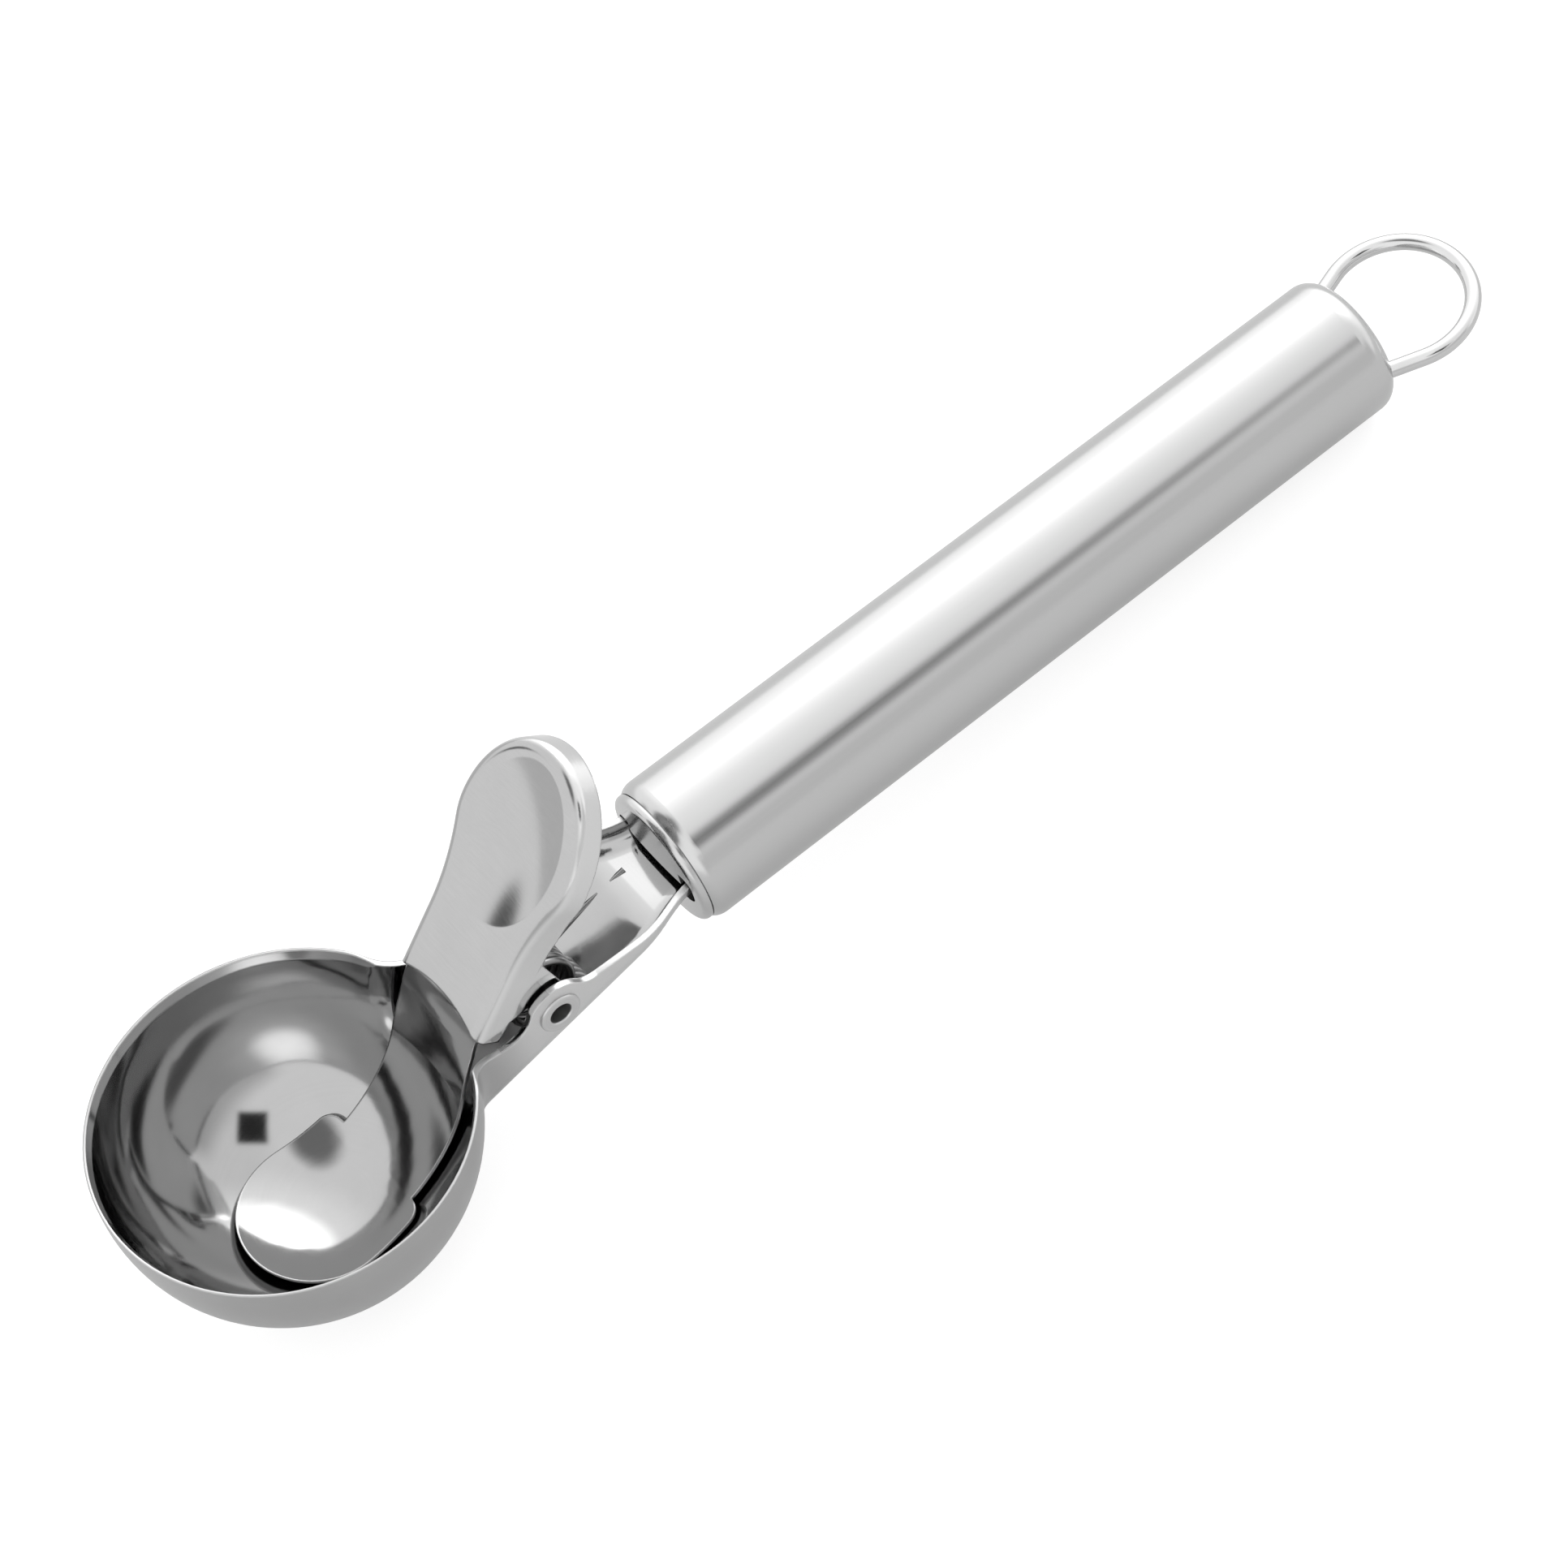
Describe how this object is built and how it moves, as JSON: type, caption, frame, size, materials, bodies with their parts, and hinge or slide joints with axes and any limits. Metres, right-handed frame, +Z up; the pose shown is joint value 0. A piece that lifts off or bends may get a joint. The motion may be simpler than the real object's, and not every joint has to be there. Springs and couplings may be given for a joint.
{
  "type": "ice cream scoop",
  "caption": "Stainless ice cream scoop: round bowl on an open channel neck, sprung thumb lever that sweeps an ejector blade through the bowl, tubular handle with a wire hanging loop.",
  "frame": {"origin": "on the table, under the middle of the whole scoop as it lies bowl side up", "axes": "+X from the bowl to the handle's end, +Z up off the table, +Y to the left of someone who holds the handle and looks at the bowl"},
  "size_m": [0.2416, 0.056, 0.0573],
  "materials": {
    "polished_steel": "mirror polished",
    "pressed_steel": "satin gloss",
    "handle_steel": "satin polished",
    "rivet_steel": "matt",
    "spring_wire": "drawn wire",
    "loop_wire": "polished"
  },
  "bodies": {
    "scoop_body": {"bowl_and_neck": "polished_steel", "pivot_rivet": "rivet_steel", "return_spring": "spring_wire", "handle_tube": "handle_steel", "front_cap": "handle_steel", "rear_cap": "handle_steel", "hang_loop": "loop_wire"},
    "ejector": {"thumb_lever": "pressed_steel", "ejector_blade": "polished_steel"}
  },
  "joints": [
    {"name": "lever_pivot", "type": "hinge", "parent": "scoop_body", "child": "ejector", "pos_m": [-0.05313, 0, 0.02262], "axis": [0, 1, 0], "range_deg": [0, 40], "stiffness_Nm_per_rad": 0.2, "springref_deg": -17.19, "deforming": ["return_spring"]}
  ]
}
